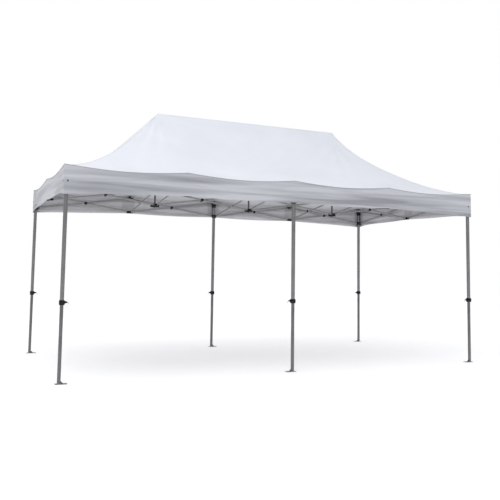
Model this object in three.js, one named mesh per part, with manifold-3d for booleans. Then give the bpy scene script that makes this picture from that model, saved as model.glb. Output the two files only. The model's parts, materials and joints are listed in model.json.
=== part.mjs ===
// Pop up canopy on a 3 m by 6 m leg grid: six telescopic hexagon legs, a scissor frame of crossed
// bars, three centre poles and a hipped fabric roof with a hanging valance.
// Millimetres, +Z up, +X along the long side, +Y from the front row of legs to the back row.
// The origin is on the ground under the middle of the roof.

import * as THREE from 'three';
import { mergeVertices } from 'three/addons/utils/BufferGeometryUtils.js';
import Module from 'manifold-3d';

const wasm = await Module();
wasm.setup();

// ---- driving dimensions ----------------------------------------------------------------------

const bay = 1500;                  // one crossed pair of bars spans one bay
const halfLength = 2 * bay;        // leg axes along X: -halfLength, 0, +halfLength
const halfWidth = bay;             // leg axes along Y: -halfWidth, +halfWidth

const topPinHeight = 2475;         // pins of the fixed brackets at the leg tops
const lowPinHeight = 2253;         // pins of the sliding brackets, frame open
const pinOffset = 50;              // from a leg or hub axis to the pins on its tongues
const pinRadius = 4;
const pinHoleRadius = 5;
const pinSides = 8;

const barHeight = 25;
const barThickness = 12;
const barEndSteps = 2;             // facets on each quarter of a rounded bar end
const sideGap = 4;                 // truss centre plane to the near face of a bar, outer trusses
const poleGap = 16;                // the same in the trusses that pass a centre pole
const touchGap = 0.5;              // between a tongue and the bar beside it

const upperTube = { radius: 26, inner: 24, bottom: 900, top: 2445 };
const lowerTube = { radius: 22.5, inner: 20.5, bottom: 4, top: 1120 };
const footPlate = { length: 140, width: 80, thickness: 4, shift: 25, holeRadius: 6, holeInset: 16 };
const topBracket = { half: 29, bottom: 2436, top: 2512 };
const slider = { half: 30, below: 28, above: 26, clearance: 1 };
const tongue = { root: 27.5, reach: 62, halfHeight: 16 };

const hub = { core: 15.5, plateNear: 16.5, plateFar: 32, earNear: 36, earFar: 64, earHeight: 13 };
const pole = { radius: 12.5, top: 3575, sides: 16, clearance: 1 };

const roof = {
  overhang: 36,                    // leg axis to the outside of the valance
  eave: 2529,
  peak: 3612,
  slopeShare: 0.86,                // the slopes are hollow: this share of the rise follows a gentle
  slopePower: 1.6,                 // power of the way up, and the rest a steep one near the peaks
  tipPower: 10,
  leftPower: 1.65,                 // the left end is fuller: there the slopes follow one power only
  dip: 45,                         // how far the eave sags between two truss supports
  hemShare: 0.35,                  // the share of that sag which is left at the hem
  drop: 290,                       // depth of the valance half way along a side
  cornerDrop: 62,                  // and how much deeper it hangs at the corners
  cornerPower: 6,
  thickness: 2,
  seam: 0.4,                       // each panel stops this far short of its hips and ridge
  tip: 0.985,                      // the end panels stop just short of the peaks
};
const roofRows = 8;
const roofColumns = 8;

const colours = {
  tube: 0xb4b7bb,
  bar: 0xc2c4c6,
  plastic: 0x17181a,
  plate: 0x8f9296,
  fabric: 0xf2f3f4,
};

// ---- solids from three.js geometry ------------------------------------------------------------

function toSolid(geometry) {
  const bare = geometry.index ? geometry.clone() : geometry;
  bare.deleteAttribute('normal');
  bare.deleteAttribute('uv');
  const merged = mergeVertices(bare, 1e-4);
  const vertProperties = new Float32Array(merged.attributes.position.array);
  const triVerts = new Uint32Array(merged.index.array);
  return new wasm.Manifold(new wasm.Mesh({ numProp: 3, vertProperties, triVerts }));
}

function toGeometry(solid) {
  const mesh = solid.getMesh();
  const geometry = new THREE.BufferGeometry();
  geometry.setAttribute('position', new THREE.BufferAttribute(mesh.vertProperties, 3));
  geometry.setIndex(new THREE.BufferAttribute(mesh.triVerts, 1));
  geometry.computeVertexNormals();
  return geometry;
}

function box(low, high) {
  const size = high.map((value, i) => value - low[i]);
  const geometry = new THREE.BoxGeometry(...size);
  geometry.translate(...low.map((value, i) => value + size[i] / 2));
  return toSolid(geometry);
}

// A prism about a line parallel to an axis; with six sides about z, two corners face along y.
function prism(axis, radius, sides, from, to, centre = [0, 0, 0]) {
  const geometry = new THREE.CylinderGeometry(radius, radius, to - from, sides);
  geometry.translate(0, (from + to) / 2, 0);
  if (axis === 'x') geometry.rotateZ(-Math.PI / 2);
  if (axis === 'z') geometry.rotateX(Math.PI / 2);
  geometry.translate(...centre);
  return toSolid(geometry);
}

function join(solids) {
  return solids.reduce((whole, solid) => whole.add(solid));
}

// ---- scissor bars -------------------------------------------------------------------------------

const barSpan = bay - pinOffset;
const barDrop = topPinHeight - lowPinHeight;
const barLength = Math.hypot(barSpan, barDrop);
const barTilt = Math.atan2(barDrop, barSpan);

function barOutline() {
  const outline = new THREE.Shape();
  outline.moveTo(0, -barHeight / 2);
  outline.lineTo(barLength, -barHeight / 2);
  outline.absarc(barLength, 0, barHeight / 2, -Math.PI / 2, Math.PI / 2, false);
  outline.lineTo(0, barHeight / 2);
  outline.absarc(0, 0, barHeight / 2, Math.PI / 2, 1.5 * Math.PI, false);
  return outline;
}

function barBlank(nearFace) {
  const geometry = new THREE.ExtrudeGeometry(barOutline(), {
    depth: barThickness,
    bevelEnabled: false,
    curveSegments: barEndSteps,
  });
  geometry.rotateX(Math.PI / 2);
  geometry.translate(0, nearFace + barThickness, 0);
  return toSolid(geometry);
}

// side is -1 for the bar that falls away from the first leg and +1 for the one that rises; pinned
// holds the stations along the bar, as shares of its length, that carry a pin through its partner.
function barSolid(gap, side, pinned) {
  const nearFace = side > 0 ? gap : -gap - barThickness;
  const reach = gap + barThickness + 3;
  let solid = barBlank(nearFace);
  for (const share of [0, 0.5, 1]) {
    const centre = [share * barLength, 0, 0];
    solid = pinned.includes(share)
      ? solid.add(prism('y', pinRadius, pinSides, -reach, reach, centre))
      : solid.subtract(prism('y', pinHoleRadius, pinSides, -reach, reach, centre));
  }
  return solid;
}

// ---- tongues that the bars are pinned to --------------------------------------------------------

// One tongue with its cross pin, pointing along +X from a leg axis; heading turns it about Z.
function tongueSolid(gap, height, heading) {
  const half = gap - touchGap;
  const reach = gap + barThickness + 3;
  const blade = box(
    [tongue.root, -half, height - tongue.halfHeight],
    [tongue.reach, half, height + tongue.halfHeight],
  );
  const pin = prism('y', pinRadius, pinSides, -reach, reach, [pinOffset, 0, height]);
  return blade.add(pin).rotate([0, 0, heading]);
}

// ---- legs ------------------------------------------------------------------------------------------

function upperLegSolid(tongues) {
  const { radius, inner, bottom, top } = upperTube;
  const { half } = topBracket;
  const tube = prism('z', radius, 6, bottom, top);
  const bore = prism('z', inner, 6, bottom - 1, topBracket.bottom - 1);
  const cap = box([-half, -half, topBracket.bottom], [half, half, topBracket.top]);
  const blades = tongues.map((t) => tongueSolid(t.gap, topPinHeight, t.heading));
  return join([tube.subtract(bore), cap, ...blades]);
}

function sliderSolid(tongues) {
  const { half, below, above, clearance } = slider;
  const low = lowPinHeight - below;
  const high = lowPinHeight + above;
  const block = box([-half, -half, low], [half, half, high]);
  const blades = tongues.map((t) => tongueSolid(t.gap, lowPinHeight, t.heading));
  const bore = prism('z', upperTube.radius + clearance, 6, low - 1, high + 1);
  return join([block, ...blades]).subtract(bore);
}

// inward is +1 or -1: the way along X that the foot plate reaches out from under its leg.
function lowerLegSolid(inward) {
  const { length, width, thickness, shift, holeRadius, holeInset } = footPlate;
  const { radius, inner, bottom, top } = lowerTube;
  const middle = inward * shift;
  const plate = box([middle - length / 2, -width / 2, 0], [middle + length / 2, width / 2, thickness]);
  const holeX = inward * (shift + length / 2 - holeInset);
  const holes = [-1, 1].map((side) =>
    prism('z', holeRadius, 12, -1, thickness + 1, [holeX, side * (width / 2 - holeInset), 0]));
  const tube = prism('z', radius, 6, bottom - 1, top);
  const bore = prism('z', inner, 6, bottom, top + 1);
  return join([plate, tube]).subtract(bore).subtract(join(holes));
}

// ---- hubs of the centre poles ---------------------------------------------------------------------

// A claw: a plate clear of the bar ends, two ears with cross pins, and a core with one long pin.
// up is +1 when the plate lies above the pins and -1 when it lies below them.
function clawSolid(height, up) {
  const { core, plateNear, plateFar, earNear, earFar, earHeight } = hub;
  const reach = poleGap + barThickness + 3;
  const level = (a, b) => [height + Math.min(up * a, up * b), height + Math.max(up * a, up * b)];
  const [plateLow, plateHigh] = level(plateNear, plateFar);
  const [low, high] = level(-earHeight, plateFar);
  const solids = [
    box([-earFar, -core, plateLow], [earFar, core, plateHigh]),
    box([-core, -core, low], [core, core, high]),
    prism('x', pinRadius, pinSides, -reach, reach, [0, 0, height]),
  ];
  for (const side of [-1, 1]) {
    const near = side > 0 ? earNear : -earFar;
    solids.push(box([near, -core, low], [near + earFar - earNear, core, high]));
    solids.push(prism('y', pinRadius, pinSides, -reach, reach, [side * pinOffset, 0, height]));
  }
  return join(solids);
}

function poleHubSolid() {
  const { radius, top, sides } = pole;
  return clawSolid(lowPinHeight, -1).add(prism('z', radius, sides, lowPinHeight, top));
}

function collarSolid() {
  const { radius, sides, clearance } = pole;
  const bore = prism('z', radius + clearance, sides, topPinHeight - 100, topPinHeight + 100);
  return clawSolid(topPinHeight, 1).subtract(bore);
}

// ---- fabric roof -------------------------------------------------------------------------------------

// Height of the roof at a share t of the way from the eave to the ridge, where rightness goes from
// 0 at the left peak to 1 at the right one.
function roofHeight(t, rightness) {
  const { eave, peak, slopeShare, slopePower, tipPower, leftPower } = roof;
  const left = t ** leftPower;
  const right = slopeShare * t ** slopePower + (1 - slopeShare) * t ** tipPower;
  return eave + (peak - eave) * (left + (right - left) * rightness);
}

// Sag of the fabric at a share along an eave of so many bays; it fades towards the ridge.
function eaveSag(along, bays, t) {
  return roof.dip * Math.abs(Math.sin(Math.PI * bays * along)) * (1 - t) ** 3;
}

// Depth of the valance at a share along its side.
function valanceDrop(along) {
  return roof.drop + roof.cornerDrop * Math.abs(2 * along - 1) ** roof.cornerPower;
}

// A closed sheet from a rectangular grid of outer points and the inner point behind each of them.
function sheetGeometry(outer, inner) {
  const rows = outer.length;
  const columns = outer[0].length;
  const positions = [...outer.flat(), ...inner.flat()].flat();
  const at = (layer, i, j) => layer * rows * columns + i * columns + j;
  const index = [];
  const quad = (a, b, c, d) => index.push(a, b, c, a, c, d);
  for (let i = 0; i < rows - 1; i++) {
    for (let j = 0; j < columns - 1; j++) {
      quad(at(0, i, j), at(0, i, j + 1), at(0, i + 1, j + 1), at(0, i + 1, j));
      quad(at(1, i, j), at(1, i + 1, j), at(1, i + 1, j + 1), at(1, i, j + 1));
    }
  }
  for (let j = 0; j < columns - 1; j++) {
    quad(at(1, 0, j), at(1, 0, j + 1), at(0, 0, j + 1), at(0, 0, j));
    quad(at(0, rows - 1, j), at(0, rows - 1, j + 1), at(1, rows - 1, j + 1), at(1, rows - 1, j));
  }
  for (let i = 0; i < rows - 1; i++) {
    quad(at(0, i, 0), at(0, i + 1, 0), at(1, i + 1, 0), at(1, i, 0));
    quad(at(1, i, columns - 1), at(1, i + 1, columns - 1), at(0, i + 1, columns - 1), at(0, i, columns - 1));
  }
  const geometry = new THREE.BufferGeometry();
  geometry.setAttribute('position', new THREE.Float32BufferAttribute(positions, 3));
  geometry.setIndex(index);
  geometry.computeVertexNormals();
  return geometry;
}

// One roof panel with its valance, seen as the one whose eave runs along X at -Y. halfEave is half
// the eave's length, halfTop half the ridge's, depth the eave's distance from the peak line, and
// rightnessAt tells how far over to the right peak an x is.
function roofPanelGeometry(halfEave, halfTop, depth, bays, lastShare, rightnessAt) {
  const { thickness, seam } = roof;
  const valanceRow = (hang) => ({
    y: -depth, half: halfEave, inY: thickness, inZ: 0,
    height: (along) => roof.eave - hang * valanceDrop(along)
      - eaveSag(along, bays, 0) * (1 - (1 - roof.hemShare) * hang),
  });
  const roofRow = (t) => ({
    y: -depth * (1 - t) - seam * t, half: halfEave + (halfTop - halfEave) * t,
    inY: t === 0 ? thickness : 0, inZ: thickness,
    height: (along, x) => roofHeight(t, rightnessAt(x)) - eaveSag(along, bays, t),
  });
  const slope = Array.from({ length: roofRows + 1 }, (_, row) => roofRow((lastShare * row) / roofRows));
  const profile = [valanceRow(1), valanceRow(0.5), ...slope];
  const layer = (inside) => profile.map((row) => {
    const half = row.half - seam - inside * thickness;
    return Array.from({ length: roofColumns + 1 }, (_, j) => {
      const along = j / roofColumns;
      const x = half * (2 * along - 1);
      return [x, row.y + inside * row.inY, row.height(along, x) - inside * row.inZ];
    });
  });
  return sheetGeometry(layer(0), layer(1));
}

// ---- assembly -----------------------------------------------------------------------------------------

const canopy = new THREE.Group();

function addMesh(name, geometry, colour, roughness, metalness, place = [0, 0, 0], turn = [0, 0, 0]) {
  const material = new THREE.MeshStandardMaterial({ color: colour, roughness, metalness });
  const mesh = new THREE.Mesh(geometry, material);
  mesh.name = name;
  mesh.position.set(...place);
  mesh.rotation.set(...turn, 'ZYX');
  canopy.add(mesh);
}

const east = 0;
const north = 90;
const west = 180;
const south = 270;

// Each leg: its place, the way its foot plate reaches, and the tongues that its brackets carry.
const legs = [
  { name: 'front_left', x: -halfLength, y: -halfWidth, foot: 1, outer: [east, north], inner: [] },
  { name: 'front_middle', x: 0, y: -halfWidth, foot: -1, outer: [east, west], inner: [north] },
  { name: 'front_right', x: halfLength, y: -halfWidth, foot: -1, outer: [west, north], inner: [] },
  { name: 'back_left', x: -halfLength, y: halfWidth, foot: 1, outer: [east, south], inner: [] },
  { name: 'back_middle', x: 0, y: halfWidth, foot: 1, outer: [east, west], inner: [south] },
  { name: 'back_right', x: halfLength, y: halfWidth, foot: -1, outer: [west, south], inner: [] },
];

for (const leg of legs) {
  const place = [leg.x, leg.y, 0];
  const tongues = [
    ...leg.outer.map((heading) => ({ heading, gap: sideGap })),
    ...leg.inner.map((heading) => ({ heading, gap: poleGap })),
  ];
  addMesh(`upper_leg_${leg.name}`, toGeometry(upperLegSolid(tongues)), colours.tube, 0.35, 0.85, place);
  addMesh(`lower_leg_${leg.name}`, toGeometry(lowerLegSolid(leg.foot)), colours.plate, 0.4, 0.85, place);
  addMesh(`slider_${leg.name}`, toGeometry(sliderSolid(tongues)), colours.plastic, 0.55, 0, place);
}

// Each truss starts at a leg or hub axis and runs in one heading. A bay's two bars are pinned
// where they cross, and to the next bay's bars where the bays meet between two legs.
const trusses = [
  { name: 'front_right', x: 0, y: -halfWidth, heading: east, bays: 2, gap: sideGap },
  { name: 'front_left', x: 0, y: -halfWidth, heading: west, bays: 2, gap: sideGap },
  { name: 'back_right', x: 0, y: halfWidth, heading: east, bays: 2, gap: sideGap },
  { name: 'back_left', x: 0, y: halfWidth, heading: west, bays: 2, gap: sideGap },
  { name: 'end_left', x: -halfLength, y: -halfWidth, heading: north, bays: 2, gap: sideGap },
  { name: 'end_right', x: halfLength, y: -halfWidth, heading: north, bays: 2, gap: sideGap },
  { name: 'cross', x: 0, y: -halfWidth, heading: north, bays: 2, gap: poleGap },
  { name: 'ridge_right', x: 0, y: 0, heading: east, bays: 1, gap: poleGap },
  { name: 'ridge_left', x: 0, y: 0, heading: west, bays: 1, gap: poleGap },
];

for (const truss of trusses) {
  const turn = THREE.MathUtils.degToRad(truss.heading);
  const sharesPin = truss.gap === sideGap;
  for (let n = 0; n < truss.bays; n++) {
    const along = n === 0 ? pinOffset : bay;
    const x = truss.x + along * Math.cos(turn);
    const y = truss.y + along * Math.sin(turn);
    const name = `bar_${truss.name}_${n + 1}`;
    const endPin = sharesPin ? [n === 0 ? 1 : 0] : [];
    const fall = toGeometry(barSolid(truss.gap, -1, []));
    const rise = toGeometry(barSolid(truss.gap, 1, [0.5, ...endPin]));
    addMesh(`${name}_fall`, fall, colours.bar, 0.4, 0.8, [x, y, topPinHeight], [0, barTilt, turn]);
    addMesh(`${name}_rise`, rise, colours.bar, 0.4, 0.8, [x, y, lowPinHeight], [0, -barTilt, turn]);
  }
}

// The middle hub's ears point along X; the two outer hubs are turned, so theirs point along Y.
for (const [name, x, turn] of [['left', -bay, Math.PI / 2], ['middle', 0, 0], ['right', bay, Math.PI / 2]]) {
  const place = [x, 0, 0];
  addMesh(`hub_${name}`, toGeometry(poleHubSolid()), colours.plastic, 0.5, 0, place, [0, 0, turn]);
  addMesh(`collar_${name}`, toGeometry(collarSolid()), colours.plastic, 0.5, 0, place, [0, 0, turn]);
}

const eaveX = halfLength + roof.overhang;
const eaveY = halfWidth + roof.overhang;
const overTo = (x) => THREE.MathUtils.clamp((x / bay + 1) / 2, 0, 1);
const longPanel = (rightnessAt) => roofPanelGeometry(eaveX, bay, eaveY, 4, 1, rightnessAt);
const endPanel = (rightness) => roofPanelGeometry(eaveY, 0, eaveX - bay, 2, roof.tip, () => rightness);
const halfTurn = [0, 0, Math.PI];
const quarterTurn = [0, 0, Math.PI / 2];
const quarterBack = [0, 0, -Math.PI / 2];
addMesh('roof_front', longPanel(overTo), colours.fabric, 0.9, 0);
addMesh('roof_back', longPanel((x) => overTo(-x)), colours.fabric, 0.9, 0, [0, 0, 0], halfTurn);
addMesh('roof_left', endPanel(0), colours.fabric, 0.9, 0, [-bay, 0, 0], quarterBack);
addMesh('roof_right', endPanel(1), colours.fabric, 0.9, 0, [bay, 0, 0], quarterTurn);

export default canopy;
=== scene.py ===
"""The looks of a 3 m by 6 m pop up canopy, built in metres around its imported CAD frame."""

import json
import math

import bmesh
import bpy
from mathutils import Matrix, Vector, noise

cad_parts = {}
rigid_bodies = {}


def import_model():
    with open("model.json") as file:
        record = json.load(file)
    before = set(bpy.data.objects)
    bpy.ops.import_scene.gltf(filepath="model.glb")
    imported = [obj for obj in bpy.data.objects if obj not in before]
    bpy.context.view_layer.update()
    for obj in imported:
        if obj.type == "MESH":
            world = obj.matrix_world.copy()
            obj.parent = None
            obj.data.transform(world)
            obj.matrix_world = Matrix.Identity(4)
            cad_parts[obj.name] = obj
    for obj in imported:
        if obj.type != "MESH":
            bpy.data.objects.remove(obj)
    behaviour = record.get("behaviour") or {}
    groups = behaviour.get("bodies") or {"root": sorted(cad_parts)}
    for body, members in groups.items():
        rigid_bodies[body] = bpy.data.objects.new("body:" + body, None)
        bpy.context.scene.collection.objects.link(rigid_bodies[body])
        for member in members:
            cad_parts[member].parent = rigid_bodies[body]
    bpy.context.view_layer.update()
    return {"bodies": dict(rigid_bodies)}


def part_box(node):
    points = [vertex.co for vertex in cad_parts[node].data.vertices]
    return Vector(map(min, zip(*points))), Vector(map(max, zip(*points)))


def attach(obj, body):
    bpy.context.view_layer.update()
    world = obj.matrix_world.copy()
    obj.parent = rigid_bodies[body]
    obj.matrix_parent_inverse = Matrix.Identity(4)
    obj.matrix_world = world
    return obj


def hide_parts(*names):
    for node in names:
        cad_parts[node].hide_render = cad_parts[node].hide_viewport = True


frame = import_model()

# ---- driving dimensions, from the frame where it holds them --------------------------------------

BAY = sum(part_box("hub_right"), Vector()).x / 2      # one crossed pair of bars spans one bay
HALF_LENGTH = 2 * BAY
HALF_WIDTH = BAY
CLAW_FAR = 0.032                                    # pins of a hub to the far face of its plate
LOW_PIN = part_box("hub_right")[0].z + CLAW_FAR       # pins of the sliding brackets, frame open
TOP_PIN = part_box("collar_right")[1].z - CLAW_FAR    # pins of the fixed brackets
POLE_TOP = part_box("hub_right")[1].z
PIN_OFFSET = 0.050                                  # from a leg or hub axis to the pins beside it
BAR_SPAN = BAY - PIN_OFFSET
BAR_HEIGHT = 0.025
BAR_THICKNESS = 0.012
SIDE_GAP = 0.004                                    # truss plane to a bar's near face
POLE_GAP = 0.016                                    # the same where a truss passes a pole
TUBE_RADIUS = 0.026
TUBE_BOTTOM = 0.900
TUBE_TOP = 2.445
INNER_RADIUS = 0.0225
INNER_TOP = 1.120
TUBE_WALL = 0.002
PLATE_TOP = 0.004

EAVE_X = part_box("roof_right")[1].x                  # the fabric's outer faces
EAVE_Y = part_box("roof_back")[1].y
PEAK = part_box("roof_front")[1].z
EAVE = 2.529
RUN = EAVE_Y                                        # plan distance from an eave to the ridge
EAVE_DIP = 0.045                                    # sag of the eave between two supports
HEM_SHARE = 0.35                                    # the share of that sag left at the hem
LEFT_POWER = 1.65                                   # the left slopes rise by this power of the way
RIGHT_POWER = 1.6                                   # the right ones by this power for a share of the
RIGHT_SHARE = 0.86                                  # rise, and the rest by a steep one near the peak
TIP_POWER = 10
DROP = 0.290                                        # depth of the valance half way along a side
CORNER_DROP = 0.062                                 # and how much deeper it hangs at the corners
CORNER_POWER = 6
CLOTH = 0.0015

EAST, NORTH, WEST, SOUTH = (math.radians(a) for a in (0, 90, 180, 270))
ROOT = "leg_front_middle"
UP = Vector((0, 0, 1))

# ---- small shapes in bmesh -----------------------------------------------------------------------


def rounded_polygon(corners, radius, steps=4):
    """The outline through corners in anticlockwise order, each rounded to the radius."""
    corners = [Vector(corner) for corner in corners]
    points = []
    for i, corner in enumerate(corners):
        before = (corners[i - 1] - corner).normalized()
        after = (corners[(i + 1) % len(corners)] - corner).normalized()
        half = before.angle(after) / 2
        centre = corner + (before + after).normalized() * (radius / math.sin(half))
        start = corner + before * (radius / math.tan(half)) - centre
        sweep = math.pi - 2 * half
        for k in range(steps + 1):
            points.append(centre + Matrix.Rotation(sweep * k / steps, 2) @ start)
    return points


def hexagon(radius, corner, steps=4):
    """A hexagon with two corners facing along y."""
    angles = [math.pi / 2 + k * math.pi / 3 for k in range(6)]
    corners = [(radius * math.cos(a), radius * math.sin(a)) for a in angles]
    return rounded_polygon(corners, corner, steps)


def rectangle(low, high, corner, steps=4):
    (x0, y0), (x1, y1) = low, high
    return rounded_polygon([(x0, y0), (x1, y0), (x1, y1), (x0, y1)], corner, steps)


def polar(reach_at, count):
    """The points at even angles, each as far out as its angle says."""
    angles = [2 * math.pi * k / count for k in range(count)]
    return [Vector((math.cos(a), math.sin(a))) * reach_at(a) for a in angles]


def soft_square(half, count=48, power=6):
    """A square with generous corners, as points at even angles."""
    def norm(a):
        return (abs(math.cos(a)) ** power + abs(math.sin(a)) ** power) ** (1 / power)
    return polar(lambda a: half / norm(a), count)


def even_hexagon(radius, count=48):
    """A hexagon with two corners facing along y, as points at even angles."""
    sixth = math.pi / 6
    flat = radius * math.cos(sixth)
    return polar(lambda a: flat / math.cos((a + sixth) % (2 * sixth) - sixth), count)


def circle(radius, count=24):
    turns = [Matrix.Rotation(2 * math.pi * k / count, 2) for k in range(count)]
    return [Vector((radius, 0)) @ turn for turn in reversed(turns)]


def grown(outline, amount):
    """An anticlockwise outline moved outwards by the amount."""
    moved = []
    for i, point in enumerate(outline):
        ahead = outline[(i + 1) % len(outline)]
        tangent = (point - outline[i - 1]).normalized() + (ahead - point).normalized()
        moved.append(point + Vector((tangent.y, -tangent.x)).normalized() * amount)
    return moved


def ring(outline, z):
    return [(p[0], p[1], z) for p in outline]


def loft(rings, closed=False):
    """A body through rings of points. Closed joins last to first, and else both ends are capped."""
    shape = bmesh.new()
    made = [[shape.verts.new(point) for point in points] for points in rings]
    count = len(rings[0])
    pairs = list(zip(made, made[1:]))
    if closed:
        pairs.append((made[-1], made[0]))
    for one, two in pairs:
        for k in range(count):
            j = (k + 1) % count
            shape.faces.new((one[k], one[j], two[j], two[k]))
    if not closed:
        shape.faces.new(made[0][::-1])
        shape.faces.new(made[-1])
    return shape


def slab(outline, low, high, edge=0.001, steps=2):
    """An outline raised from low to high, with both rims rounded."""
    lower = []
    for k in range(steps + 1):
        turn = math.pi / 2 * k / steps
        lower.append((edge * (1 - math.sin(turn)), edge * (1 - math.cos(turn))))
    rings = [ring(grown(outline, -inset), low + rise) for inset, rise in lower]
    rings += [ring(grown(outline, -inset), high - rise) for inset, rise in reversed(lower)]
    return loft(rings)


def tube(outer, inner, low, high, edge=0.0005):
    """A straight tube between two outlines of as many points."""
    return loft([
        ring(outer, low + edge), ring(outer, high - edge), ring(grown(outer, -edge), high),
        ring(inner, high), ring(inner, low), ring(grown(outer, -edge), low),
    ], closed=True)


def sleeve(levels, bore):
    """A moulded sleeve: (height, half width) levels of a soft square round a hexagonal bore."""
    rings = [ring(soft_square(half), z) for z, half in levels]
    rings += [ring(even_hexagon(radius), z) for z, radius in bore]
    return loft(rings, closed=True)


def lathe(profile, count=24):
    """A (radius, height) profile turned about z. It starts and ends on the axis."""
    shape = bmesh.new()
    rings = []
    for radius, z in profile:
        if radius == 0:
            rings.append([shape.verts.new((0, 0, z))])
        else:
            rings.append([shape.verts.new((*point, z)) for point in circle(radius, count)])
    for one, two in zip(rings, rings[1:]):
        for k in range(count):
            j = (k + 1) % count
            corners = [one[k % len(one)], one[j % len(one)], two[j % len(two)], two[k % len(two)]]
            shape.faces.new(list(dict.fromkeys(corners)))
    return shape


def wire_ring(radius, wire, count=28, sides=8):
    """A round ring of round wire about z."""
    rings = []
    angles = [2 * math.pi * j / sides for j in range(sides)]
    section = [Vector((radius + wire * math.cos(a), 0, wire * math.sin(a))) for a in angles]
    for k in range(count):
        turn = Matrix.Rotation(2 * math.pi * k / count, 3, "Z")
        rings.append([turn @ point for point in section])
    return loft(rings, closed=True)


def block(low, high, edge=0.001, steps=2):
    """A box with rounded edges."""
    shape = bmesh.new()
    bmesh.ops.create_cube(shape, size=1)
    low, high = Vector(low), Vector(high)
    for vertex in shape.verts:
        vertex.co = Vector(a + (t + 0.5) * (b - a) for a, b, t in zip(low, high, vertex.co))
    bmesh.ops.bevel(
        shape, geom=shape.edges[:], offset=edge, segments=steps, profile=0.5, affect="EDGES")
    return shape


def moved(shape, matrix):
    bmesh.ops.transform(shape, matrix=matrix, verts=shape.verts)
    return shape


def joined(parts):
    """Puts bodies together in one bmesh."""
    whole = bmesh.new()
    for part in parts:
        mesh = bpy.data.meshes.new("part")
        part.to_mesh(mesh)
        part.free()
        whole.from_mesh(mesh)
        bpy.data.meshes.remove(mesh)
    return whole


def cut(shape, tool):
    """Cuts the tool's holes out of a shape."""
    objects = []
    for name, body in (("blank", shape), ("tool", tool)):
        bmesh.ops.recalc_face_normals(body, faces=body.faces)
        mesh = bpy.data.meshes.new(name)
        body.to_mesh(mesh)
        body.free()
        objects.append(bpy.data.objects.new(name, mesh))
        bpy.context.scene.collection.objects.link(objects[-1])
    blank, cutter = objects
    boolean = blank.modifiers.new("cut", "BOOLEAN")
    boolean.object = cutter
    result = bmesh.new()
    result.from_object(blank, bpy.context.evaluated_depsgraph_get())
    for thing in objects:
        mesh = thing.data
        bpy.data.objects.remove(thing)
        bpy.data.meshes.remove(mesh)
    return result


def way_along(heading):
    return Vector((math.cos(heading), math.sin(heading), 0))


def way_across(heading):
    return Vector((-math.sin(heading), math.cos(heading), 0))


def placed(at, *axes):
    """The matrix that sets a shape's own x, y and z along the given axes, at a point."""
    return Matrix.Translation(at) @ Matrix(axes).transposed().to_4x4()


def upright(heading, at=(0, 0, 0)):
    """Stands a shape drawn in (along, up) on edge, so that its thickness lies across the heading."""
    return placed(at, way_along(heading), UP, -way_across(heading))


def finish_mesh(name, shape, crease=35):
    bmesh.ops.recalc_face_normals(shape, faces=shape.faces)
    mesh = bpy.data.meshes.new(name)
    shape.to_mesh(mesh)
    shape.free()
    mesh.polygons.foreach_set("use_smooth", [True] * len(mesh.polygons))
    mesh.set_sharp_from_angle(angle=math.radians(crease))
    return mesh


def piece(name, mesh, body, finish, at=(0, 0, 0)):
    """One named piece of the object, placed and riding on its body."""
    if isinstance(mesh, bmesh.types.BMesh):
        mesh = finish_mesh(name, mesh)
    made = bpy.data.objects.new(name, mesh)
    bpy.context.scene.collection.objects.link(made)
    made.location = at
    if not mesh.materials:
        mesh.materials.append(finish)
    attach(made, body)
    return made


def turn_with(made, body):
    """Lets a piece keep its own place but turn as another body does."""
    copy = made.constraints.new("COPY_ROTATION")
    copy.target = frame["bodies"][body]
    return made


# ---- materials -----------------------------------------------------------------------------------


class Nodes:
    """A shader node tree under construction."""

    def __init__(self, tree):
        self.tree = tree

    def node(self, kind, inputs=None, **settings):
        made = self.tree.nodes.new("ShaderNode" + kind)
        for key, value in settings.items():
            setattr(made, key, value)
        for socket, value in (inputs or {}).items():
            if isinstance(value, bpy.types.NodeSocket):
                self.tree.links.new(value, made.inputs[socket])
            else:
                made.inputs[socket].default_value = value
        return made


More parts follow.
